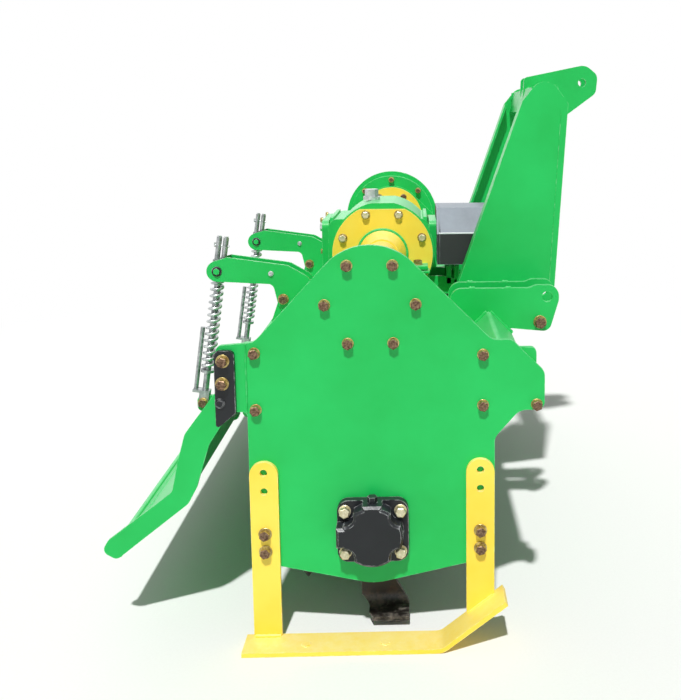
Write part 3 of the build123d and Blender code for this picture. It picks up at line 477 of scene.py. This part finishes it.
def dipped_tines(name, paint, rust, bare):
    """Forged spring steel dipped in black paint, rusty in patches and rubbed bare towards the tips."""
    material, tree, shader, coords = start(name)
    away = add_node(tree, "ShaderNodeVectorMath", (coords, tuple(-ROTOR)), operation="ADD")
    side_on = add_node(tree, "ShaderNodeVectorMath", (away, (1.0, 0.0, 1.0)), operation="MULTIPLY")
    reach = add_node(tree, "ShaderNodeVectorMath", (side_on,), operation="LENGTH")
    patch = add_node(tree, "ShaderNodeTexNoise", {"Vector": coords, "Scale": 45.0, "Detail": 7.0,
                                                  "Roughness": 0.7})
    rusty = add_node(tree, "ShaderNodeMapRange", (patch, 0.5, 0.68, 0.0, 0.8))
    base = add_node(tree, "ShaderNodeMix", {0: rusty, 6: paint, 7: rust}, data_type="RGBA").outputs[2]
    tips = add_node(tree, "ShaderNodeMapRange", (reach.outputs["Value"], 0.165, 0.2))
    uneven = add_node(tree, "ShaderNodeMapRange", (patch, 0.45, 0.6, 0.0, 0.7))
    rubbed_and_highlit = add_node(tree, "ShaderNodeMath", (tips, uneven), operation="MULTIPLY")
    base = add_node(tree, "ShaderNodeMix", {0: rubbed_and_highlit, 6: base, 7: bare}, data_type="RGBA").outputs[2]
    worn_and_highlit = edge_mask(tree, coords, 0.0015, 80.0)
    base = add_node(tree, "ShaderNodeMix", {0: worn_and_highlit, 6: base, 7: bare}, data_type="RGBA").outputs[2]
    rough = add_node(tree, "ShaderNodeMapRange", (patch, 0.3, 0.7, 0.35, 0.62))
    bump = add_node(tree, "ShaderNodeBump", {"Height": patch, "Strength": 0.25, "Distance": 0.001})
    feed(tree, shader, {"Base Color": base, "Roughness": rough, "Normal": bump})
    MATERIALS[name] = material


def make_materials(colours):
    """All the finishes of the machine."""
    # Two-pack enamel over shot-blasted plate: a strong even colour with a soft shine
    # Its pale mint edge and top colours are painted highlights, the top one with some dust
    sprayed_enamel("green", colours.green, linear("#17B852"), linear("#86E0A2"), linear("#A2E4B8"), 0.36)
    # The same enamel in yellow, on the castings and skids
    # Its pale cream edge and top colours are painted highlights, the top one with some dust
    sprayed_enamel("yellow", colours.yellow, linear("#FBD742"), linear("#FFF0A8"), linear("#FFF3C0"), 0.34)
    # Black enamel on castings, with a silver line along its edges, a painted highlight with some wear, and
    # greyer on top with dust and painted light from above
    sprayed_enamel("black", colours.black, linear("#15181B"), linear("#B9BBBD"), linear("#3A3D44"), 0.3, 2.0)
    # Black polypropylene, moulded, pale grey on top: a painted sky reflection with some dust
    moulded_guard("guard", linear("#232025"), linear("#9DA5B2"))
    # The same moulding, pale all over, for the bars along the guard's folds: a painted highlight line
    moulded_guard("fold_highlight", linear("#D5DAE0"), linear("#F4F6F8"))
    # Forged spring steel under black dipping paint, matt brown-black with bare steel at the tips
    dipped_tines("tines", linear("#1B1613"), linear("#46301F"), linear("#8A837B"))
    # Clear zinc plating, bluish silver, on springs and the filler
    plated_steel("zinc", linear("#DCDEDE"), linear("#A9AEB0"), 60.0, 0.25)
    # The rods inside the springs, duller where the grease holds dust
    plated_steel("rod", linear("#BCC0C1"), linear("#7C8082"), 80.0, 0.35)
    # Yellow zinc plating on the bolts, and a browner plating on the top face of their heads
    plated_steel("gold", linear("#D2C488"), linear("#8E7440"), 120.0, 0.3)
    plated_steel("brown", linear("#967A62"), linear("#3E2A20"), 260.0, 0.38)
    # Paler plating on the bearing cap's and the gearbox covers' bolts
    plated_steel("cream", linear("#E2DCC0"), linear("#BDB48E"), 160.0, 0.35)
    # Ground steel of the splined shaft under a film of grease
    plated_steel("shaft", linear("#B4B4B0"), linear("#77746C"), 30.0, 0.22)


# Settings

class TillerColours(bpy.types.PropertyGroup):
    """Colours of the three enamels and the floor."""
    green: bpy.props.FloatVectorProperty(
        name="Green enamel", description="Main colour of the machine",
        subtype="COLOR", size=3, min=0, max=1, default=linear("#1DC45D"))
    yellow: bpy.props.FloatVectorProperty(
        name="Yellow enamel", description="Skids, covers and cross tubes",
        subtype="COLOR", size=3, min=0, max=1, default=linear("#FFE45A"))
    black: bpy.props.FloatVectorProperty(
        name="Black enamel", description="Bearing cap and hinge brackets",
        subtype="COLOR", size=3, min=0, max=1, default=linear("#1E2125"))
    floor: bpy.props.FloatVectorProperty(
        name="Floor", description="Colour of the floor",
        subtype="COLOR", size=3, min=0, max=1, default=linear("#F4F4F2"))


class TillerSizes(bpy.types.PropertyGroup):
    """Sizes of what is added to the machine."""
    bolt: bpy.props.FloatProperty(
        name="Bolt heads", description="Width across flats of the side plates' bolts",
        subtype="DISTANCE", unit="LENGTH", default=0.0165, min=0.008, max=0.03)
    wire: bpy.props.FloatProperty(
        name="Spring wire", description="Radius of the springs' wire",
        subtype="DISTANCE", unit="LENGTH", default=0.0038, min=0.001, max=0.005)
    coil: bpy.props.FloatProperty(
        name="Spring", description="Radius of the springs to the middle of the wire",
        subtype="DISTANCE", unit="LENGTH", default=0.0118, min=0.01, max=0.016)
    turns: bpy.props.IntProperty(name="Turns", description="Turns of each spring", default=14, min=8, max=24)
    bead: bpy.props.FloatProperty(
        name="Weld beads", description="Radius of a weld bead",
        subtype="DISTANCE", unit="LENGTH", default=0.0035, min=0.002, max=0.006)


# Operators

class TILLER_OT_finishes(bpy.types.Operator):
    """Gives every part of the machine its paint or plating"""
    bl_idname = "tiller.finishes"
    bl_label = "Paint the machine"

    def execute(self, context):
        make_materials(context.scene.tiller_colours)
        finish_of = {slot: finish for finish, slot in SLOT_OF.items()}
        for part in frame["record"]["subparts"]:
            rod = part["node"].startswith("spring_rod")
            finish = "rod" if rod else finish_of[part["material_slot"]]
            for slot in frame["nodes"][part["node"]].material_slots:
                slot.material = MATERIALS[finish]
        return {"FINISHED"}


class TILLER_OT_springs(bpy.types.Operator):
    """Winds the two springs from round wire"""
    bl_idname = "tiller.springs"
    bl_label = "Springs"

    def execute(self, context):
        sizes = context.scene.tiller_sizes
        rise = SPRING_LEN * MM - 2 * sizes.wire
        for side, word in SIDES:
            clear()
            bpy.ops.mesh.primitive_circle_add(vertices=8, radius=sizes.wire, location=(sizes.coil, 0, 0),
                                              rotation=(math.pi / 2, 0, 0))
            coil = bpy.context.object
            bpy.ops.object.transform_apply(location=True, rotation=True, scale=True)
            modify(coil, "SCREW", axis="Z", screw_offset=rise / sizes.turns, iterations=sizes.turns,
                   steps=20, render_steps=20, use_merge_vertices=True, merge_threshold=1e-5)
            bpy.ops.object.mode_set(mode="EDIT")
            bpy.ops.mesh.select_all(action="DESELECT")
            bpy.ops.mesh.select_mode(type="EDGE")
            bpy.ops.mesh.select_non_manifold()
            bpy.ops.mesh.fill_holes(sides=0)
            close_mesh()
            top = spot(PIVOT[0], side * ARM_Y, PIVOT[1]) - ROD_UP * SPRING_TOP * MM
            low = top - ROD_UP * (SPRING_LEN * MM - sizes.wire)
            tilted = ROD_UP.to_track_quat("Z", "Y").to_matrix().to_4x4()
            coil.matrix_world = Matrix.Translation(low) @ tilted
            put(coil, f"coil_spring_{word}", f"swivel_{word}", "zinc", smooth=60)
            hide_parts(f"spring_{word}")
            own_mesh(coil)
        return {"FINISHED"}


class TILLER_OT_plate_bolts(bpy.types.Operator):
    """Sets the bolts of the side plates, skids, hinge brackets, bearing cap and gear case"""
    bl_idname = "tiller.plate_bolts"
    bl_label = "Side plate bolts"

    def execute(self, context):
        across = context.scene.tiller_sizes.bolt / MM
        for side, word in SIDES:
            out, inward = (0, side, 0), (0, -side, 0)
            places = [((x, side * PLATE_OUT, z), out, x) for x, z in PLATE_BOLTS]
            if side < 0:
                places += ring(TUBE_BOLT_R, SHAFT_Z, -PLATE_OUT, out, SIX)
            bolts(f"plate_bolts_{word}", "frame", places, across)
            places = [((x, side * PAD_FACE, z), inward, z) for x, z in PAD_NUTS]
            places += ring(TUBE_BOLT_R, SHAFT_Z, side * TUBE_FACE, inward, SIX)
            bolts(f"plate_nuts_{word}", "frame", places, across, tip=5)
            places = [((x, side * LEG_FACE, z), out, 2 * z) for x, z in LEG_BOLTS]
            places += [((x, side * LEG_FACE, z), out, turn) for x, z, turn in BRACKET_BOLTS]
            bolts(f"skid_bolts_{word}", "frame", places, across, washer=1.25)
        right, left = (0, -1, 0), (0, 1, 0)
        bolts("cap_bolts", "frame", [((x, -CAP_FACE, z), right, x + z) for x, z in CAP_BOLTS],
              17, 10, 1.15, finish=("cream", "cream"))
        rim = ring(CASE_HEAD_R, SHAFT_Z, CASE_FACE, left, range(-5, 200, 38))
        rim += ring(CASE_FOOT_R, 0, CASE_FACE, left, range(185, 370, 35))
        rim += [((end * x, CASE_FACE, z), left, z) for end in (-1, 1) for x, z in CASE_WAIST]
        bolts("case_cover_bolts", "frame", rim, 13, 6)
        bolts("case_nuts", "frame", ring(CASE_NUT_R, SHAFT_Z, PLATE_OUT, right, range(0, 181, 45)), 15, 12)
        return {"FINISHED"}


class TILLER_OT_gearbox_trim(bpy.types.Operator):
    """Adds the gearbox's bolts, lugs, ribs and plugs"""
    bl_idname = "tiller.gearbox_trim"
    bl_label = "Gearbox fittings"

    def execute(self, context):
        rear, front, up = (-1, 0, 0), (1, 0, 0), (0, 0, 1)
        places = []
        for side, _ in SIDES:
            places += ring(COVER_BOLT_R, SHAFT_Z, side * COVER_FACE, (0, side, 0), EIGHT)
        bolts("gearbox_cover_bolts", "frame", places, 15, 8, 1.25, finish=("gold", "cream"))
        bolts("rear_cover_bolts", "frame", [((BACK_FACE, y, z), rear, y) for y, z in BACK_BOLTS], 11, 4)
        bolts("level_plug", "frame", [((BACK_FACE, *LEVEL_PLUG), rear, 10)], 20, 8, 1.3,
              finish=("zinc", "zinc"))
        bolts("flange_bolts", "frame", [((GUARD_FACE, y, z), front, y) for y, z in FLANGE_BOLTS], 13, 6)
        lugs = [slab(xs, [side * y for y in ys], z, rise, edge)
                for side, _ in SIDES for xs, ys, z, rise, edge in LUG]
        put(lugs, "gearbox_lugs", "frame", "green")
        x, y, z = LUG_BOLT
        bolts("lug_bolts", "frame", [((x, side * y, z), up, 10) for side, _ in SIDES], 19, 8)
        necks = []
        for side, _ in SIDES:
            clear()
            bpy.ops.mesh.primitive_torus_add(
                major_segments=48, minor_segments=8, major_radius=NECK_R * MM, minor_radius=3.2 * MM,
                location=spot(0, side * (COVER_FACE + 2), SHAFT_Z), rotation=(math.pi / 2, 0, 0))
            necks.append(bpy.context.object)
        put(necks, "neck_seals", "frame", "green")
        ribs = [slab((x, x + 9), (-101, 101), 492, -160, 1.5) for x in RIB_X]
        put(ribs, "gearbox_ribs", "frame", "green")
        return {"FINISHED"}


class TILLER_OT_guard_trim(bpy.types.Operator):
    """Rolls the rim of the input shaft's guard and adds its struts"""
    bl_idname = "tiller.guard_trim"
    bl_label = "Guard rim"

    def execute(self, context):
        rims = [line([(x, y, z) for y, z in GUARD_SECTION], 2.6) for x in GUARD_X]
        put(rims, "guard_rim", "frame", "guard", smooth=60)
        y, z = FOLD
        # A pale bar along each upper fold of the guard: a painted highlight line
        fold_highlight_bars = [line([(x - 2, side * y, z) for x in GUARD_X], 2.2) for side, _ in SIDES]
        put(fold_highlight_bars, "guard_fold_highlights", "frame", "fold_highlight", "guard_plastic", smooth=60)
        struts = [slab((x, x + 12), (side * STRUT_Y - 5, side * STRUT_Y + 5), 322, 44, 1)
                  for side, _ in SIDES for x in STRUT_X]
        put(struts, "guard_struts", "frame", "green")
        return {"FINISHED"}


class TILLER_OT_hitch_trim(bpy.types.Operator):
    """Bolts and welds the lower forks and the mast"""
    bl_idname = "tiller.hitch_trim"
    bl_label = "Hitch and mast"

    def execute(self, context):
        radius = context.scene.tiller_sizes.bead
        bolt_x, bolt_z = HITCH_BOLT
        heads, nuts, runs, tacks, creases = [], [], [], [], []
        for side, _ in SIDES:
            heads.append(((bolt_x, side * (HITCH_Y + FORK_OUT), bolt_z), (0, side, 0), 12))
            nuts.append(((bolt_x, side * (HITCH_Y - FORK_OUT), bolt_z), (0, -side, 0), 5))
            runs += [[(x, side * y, z) for x, z in seam] for y in SEAM_Y for seam in BEAM_SEAMS]
            # Leg to mast head, and mast head to its lugs
            runs.append([(345, side * 208, 775), (346, side * 208, 795)])
            runs += [[(353, side * y, 796), (396, side * y, 800)] for y in (25.5, 36.5)]
            creases.append(line([(386, side * CREASE_Y, 352), (409, side * CREASE_Y, 742)], 0.9))
            tacks += [[(at - 6, side * y, FORK_TOP), (at + 6, side * y, FORK_TOP)]
                      for y in (HITCH_Y - FORK_MID, HITCH_Y + FORK_MID) for at in (197, 274)]
        put(creases, "mast_creases", "frame", "green", smooth=60)
        beads("fork_tacks", "frame", tacks, radius * 0.9)
        bolts("fork_bolts", "frame", heads, 22, 11, 1.1)
        bolts("fork_nuts", "frame", nuts, 22, 11, 1.1, tip=7)
        beads("hitch_welds", "frame", runs, radius)
        return {"FINISHED"}


class TILLER_OT_board_trim(bpy.types.Operator):
    """Adds the spring arms' and rods' pins, the hinge collars and the board's welds and edge bars"""
    bl_idname = "tiller.board_trim"
    bl_label = "Rear board fittings"

    def execute(self, context):
        hinge_x, hinge_z = HINGE
        arm, small, pins, collars, heads, runs = [], [], [], [], [], []
        for side, word in SIDES:
            middle = side * ARM_Y
            for step in (-1, 1):
                face = middle + step * ARM_FACE
                arm.append(((ARM_BOLT[0], face, ARM_BOLT[1]), (0, step, 0), 7))
                small.append(((ARM_SCREW[0], face, ARM_SCREW[1]), (0, step, 0), 11))
                pins.append(((PIVOT[0], face, PIVOT[1]), (0, step, 0), 0))
                runs.append([(-330, middle + step * 5.5, 52), (-352, middle + step * 5.5, 41)])
            eyes = [((EYE[0], middle + step * EYE_FACE, EYE[1]), (0, step, 0), 9) for step in (-1, 1)]
            bolts(f"eye_bolts_{word}", f"rod_{word}", eyes, 17, 7, 1.2)
            self.rod_clip(Vector((PIVOT[0], middle, PIVOT[1])), word)
            collars.append([(hinge_x, side * y, hinge_z) for y in COLLAR_Y])
            heads.append(((hinge_x, side * LEG_FACE, hinge_z), (0, side, 0), 0))
            runs += [[(hinge_x + x, side * BOARD_END, hinge_z + z) for x, z in run] for run in BOARD_RUNS]
        bolts("arm_bolts", "frame", arm, 17, 7, 1.25)
        bolts("arm_screws", "frame", small, 8, 2, 1.3, finish=("zinc", "zinc"))
        # Each pin's green end sits in a black rim and wide washer: a painted shade for the dark recess round
        # it
        bolts("swivel_caps", "frame", pins, 13, 4, 1.5, finish=("black", "green"))
        put([line(ends, 13, sides=6) for ends in collars], "hinge_collars", "frame", "zinc")
        bolts("hinge_heads", "frame", heads, 12, 3, 1.3, finish=("black", "black"))
        edges = [line([(hinge_x + x, y, hinge_z + z) for y in (-672, 672)], 6, sides=4)
                 for x, z in BOARD_EDGES]
        put(edges, "board_edge_bars", "tailboard", "green", smooth=60)
        beads("board_welds", "tailboard", runs, context.scene.tiller_sizes.bead)
        return {"FINISHED"}

    def rod_clip(self, pivot, word):
        """The split pin through a rod's upper end, and the two nubs on its prongs."""
        pin, top = pivot + ROD_UP * 55, pivot + ROD_UP * 73
        lift = Vector((0, 0, 5))
        clip = [line([pin - ROD_BACK * 16, pin + ROD_BACK * 16], 2.6),
                line([pin + ROD_BACK * 16 + lift, pin + ROD_BACK * 16 - lift], 2.2)]
        for step in (-7.5, 7.5):
            clip.append(line([top + ROD_BACK * step, top + ROD_BACK * step + ROD_UP * 4], 4.6))
        put(clip, f"rod_clip_{word}", f"rod_{word}", "zinc")


class TILLER_OT_hood_trim(bpy.types.Operator):
    """Adds the hood's rear bar, its stiffening ribs and the welds of the stools and tabs"""
    bl_idname = "tiller.hood_trim"
    bl_label = "Hood fittings"

    def execute(self, context):
        bars = [line([(-252, -690, 262), (-252, 690, 262)], 5, sides=3)]
        bars += [slab((-215, 186), (y - 14, y + 14), 283, 7, 2) for y in (-470, 470)]
        put(bars, "hood_ribs", "frame", "green", smooth=50)
        runs, seams = [], []
        for side, _ in SIDES:
            runs += [[(-212, side * ARM_Y + y, 285), (-146, side * ARM_Y + y, 285)] for y in (-19.5, 19.5)]
            seams.append(line([(-217, side * 700.6, 216), (-217, side * 700.6, 338)], 1.6))
            seams.append(line([(-160, side * 690, 286), (180, side * 690, 286)], 3.5, ripple=0.3))
        beads("stool_welds", "frame", runs, context.scene.tiller_sizes.bead)
        put(seams, "tab_seams", "frame", "green", smooth=60)
        return {"FINISHED"}


class TILLER_OT_rotor_trim(bpy.types.Operator):
    """Bolts the tines to the rotor's flanges"""
    bl_idname = "tiller.rotor_trim"
    bl_label = "Tine bolts"

    def execute(self, context):
        heads, nuts = [], []
        for number in range(FLANGES):
            y = FIRST_FLANGE + FLANGE_STEP * number
            for place in range(6):
                hand = 1 if place % 2 == 0 else -1
                angle = math.radians(60 * place + HELIX_STEP * number)
                for across in (-TINE_BOLT_APART, TINE_BOLT_APART):
                    x = TINE_BOLT_R * math.sin(angle) + across * math.cos(angle)
                    z = TINE_BOLT_R * math.cos(angle) - across * math.sin(angle)
                    heads.append(((x, y + hand * TINE_FACE, z), (0, hand, 0), 0))
                    nuts.append(((x, y - hand * FLANGE_FACE, z), (0, -hand, 0), 0))
        for name, places in (("tine_bolts", heads), ("tine_nuts", nuts)):
            clear()
            bpy.ops.mesh.primitive_cylinder_add(vertices=6, radius=11 * MM, depth=8 * MM,
                                                location=(0, 0, 4 * MM))
            head = bpy.context.object
            pick_faces(head, lambda face: face.normal.z > 0.9)
            bpy.ops.mesh.bevel(offset=1.2 * MM, segments=1)
            bpy.ops.object.mode_set(mode="OBJECT")
            bpy.ops.object.transform_apply(location=True, rotation=True, scale=True)
            put(set_out(head, places), name, "rotor", "tines", smooth=20)
        return {"FINISHED"}


class TILLER_OT_skid_trim(bpy.types.Operator):
    """Adds the skids' sole screws and welds"""
    bl_idname = "tiller.skid_trim"
    bl_label = "Skid fittings"

    def execute(self, context):
        runs, screws = [], []
        for side, _ in SIDES:
            y = side * (LEG_FACE + 0.5)
            runs += [[(-214, y, -198), (-168, y, -198)], [(168, y, -163), (214, y, -128)]]
            screws += [((x, side * 734, -200.5), (0, 0, 1), 0) for x in (-120, 20)]
        beads("skid_welds", "frame", runs, context.scene.tiller_sizes.bead, "yellow")
        bolts("sole_screws", "frame", screws, 15, 1.5, 1.1, finish=("yellow", "yellow"))
        return {"FINISHED"}


class TILLER_OT_stage(bpy.types.Operator):
    """Builds the floor, the light and the camera"""
    bl_idname = "tiller.stage"
    bl_label = "Stage"

    def execute(self, context):
        clear()
        bpy.ops.mesh.primitive_circle_add(vertices=96, radius=14, fill_type="NGON", location=(0, 0, -0.0005))
        floor = bpy.context.object
        floor.name = "floor"
        floor.data.materials.append(self.floor_material(context.scene.tiller_colours.floor))
        context.scene.world = context.scene.world or bpy.data.worlds.new("sky")
        context.scene.world.use_nodes = True
        self.light_sky(context.scene.world.node_tree)
        for name, direction, energy, angle in LAMPS:
            clear()
            bpy.ops.object.light_add(type="SUN", location=(0, 0, 3))
            lamp = bpy.context.object
            lamp.name = name
            lamp.data.energy = energy
            lamp.data.angle = math.radians(angle)
            lamp.rotation_euler = Vector(direction).to_track_quat("-Z", "Y").to_euler()
        self.place_camera(context.scene)
        context.scene.view_settings.view_transform = "Standard"
        return {"FINISHED"}

    def light_sky(self, tree):
        """A soft sky that the camera, reflections and clear things see as white."""
        tree.nodes.clear()
        path = add_node(tree, "ShaderNodeLightPath", {}).outputs
        seen = add_node(tree, "ShaderNodeMath", (path["Is Camera Ray"], path["Is Glossy Ray"]),
                        operation="MAXIMUM")
        seen = add_node(tree, "ShaderNodeMath", (seen, path["Is Transmission Ray"]), operation="MAXIMUM")
        sky = add_node(tree, "ShaderNodeBackground", {"Color": (0.98, 0.98, 0.97), "Strength": 0.18})
        white = add_node(tree, "ShaderNodeBackground", {"Color": (1.0, 1.0, 1.0), "Strength": 1.0})
        mixed = add_node(tree, "ShaderNodeMixShader", (seen, sky, white))
        add_node(tree, "ShaderNodeOutputWorld", {"Surface": mixed})

    def place_camera(self, scene):
        """The camera at the photograph's place."""
        clear()
        yaw, pitch, roll = (math.radians(angle) for angle in CAMERA_TURN)
        forward = Vector((math.sin(yaw) * math.cos(pitch), math.cos(yaw) * math.cos(pitch), math.sin(pitch)))
        turn = forward.to_track_quat("-Z", "Y").to_matrix() @ Matrix.Rotation(-roll, 3, "Z")
        bpy.ops.object.camera_add(location=CAMERA_PLACE, rotation=turn.to_euler())
        camera = bpy.context.object
        camera.data.lens = CAMERA_LENS
        camera.data.sensor_width = 36
        camera.data.shift_x, camera.data.shift_y = CAMERA_SHIFT
        camera.data.clip_end = 60
        scene.camera = camera

    def floor_material(self, colour):
        """A pale painted studio floor that fades to white with distance and keeps the shadow."""
        material, tree, shader, coords = start("painted floor")
        fine = add_node(tree, "ShaderNodeTexNoise", {"Vector": coords, "Scale": 220.0, "Detail": 3.0})
        mottled = add_node(tree, "ShaderNodeMapRange", (fine, 0.3, 0.7, 0.0, 0.3))
        base = add_node(tree, "ShaderNodeMix", {0: mottled, 6: colour, 7: linear("#EAEAE6")},
                        data_type="RGBA")
        feed(tree, shader, {"Base Color": base.outputs[2], "Roughness": 0.75})
        away = add_node(tree, "ShaderNodeVectorMath", (coords,), operation="LENGTH")
        pale_mix = add_node(tree, "ShaderNodeMapRange", (away.outputs["Value"], 0.9, 2.6))
        path = add_node(tree, "ShaderNodeLightPath", {})
        far = add_node(tree, "ShaderNodeMath", (pale_mix, path.outputs["Is Camera Ray"]), operation="MULTIPLY")
        glow = add_node(tree, "ShaderNodeEmission", {"Color": (1.0, 1.0, 1.0), "Strength": 1.0})
        mixed = add_node(tree, "ShaderNodeMixShader", (far, shader, glow))
        tree.links.new(mixed.outputs[0], tree.nodes["Material Output"].inputs["Surface"])
        return material


OPERATORS = (
    TILLER_OT_stage, TILLER_OT_finishes, TILLER_OT_springs, TILLER_OT_plate_bolts, TILLER_OT_gearbox_trim,
    TILLER_OT_guard_trim, TILLER_OT_hitch_trim, TILLER_OT_board_trim, TILLER_OT_hood_trim,
    TILLER_OT_rotor_trim, TILLER_OT_skid_trim,
)


class TILLER_PT_panel(bpy.types.Panel):
    """Colours, sizes and the steps that finish the machine"""
    bl_idname = "TILLER_PT_panel"
    bl_label = "Tiller"
    bl_space_type = "VIEW_3D"
    bl_region_type = "UI"
    bl_category = "Tiller"

    def draw(self, context):
        for group in (context.scene.tiller_colours, context.scene.tiller_sizes):
            for name in group.bl_rna.properties.keys():
                if name not in ("rna_type", "name"):
                    self.layout.prop(group, name)
        for operator in OPERATORS:
            self.layout.operator(operator.bl_idname)


CLASSES = (TillerColours, TillerSizes, *OPERATORS, TILLER_PT_panel)


def register():
    for cls in CLASSES:
        bpy.utils.register_class(cls)
    bpy.types.Scene.tiller_colours = bpy.props.PointerProperty(type=TillerColours)
    bpy.types.Scene.tiller_sizes = bpy.props.PointerProperty(type=TillerSizes)


def unregister():
    del bpy.types.Scene.tiller_sizes
    del bpy.types.Scene.tiller_colours
    for cls in reversed(CLASSES):
        bpy.utils.unregister_class(cls)


def main():
    register()
    bpy.ops.tiller.stage()
    bpy.ops.tiller.finishes()
    bpy.ops.tiller.springs()
    bpy.ops.tiller.plate_bolts()
    bpy.ops.tiller.gearbox_trim()
    bpy.ops.tiller.guard_trim()
    bpy.ops.tiller.hitch_trim()
    bpy.ops.tiller.board_trim()
    bpy.ops.tiller.hood_trim()
    bpy.ops.tiller.rotor_trim()
    bpy.ops.tiller.skid_trim()
    clear()


if __name__ == "__main__":
    main()
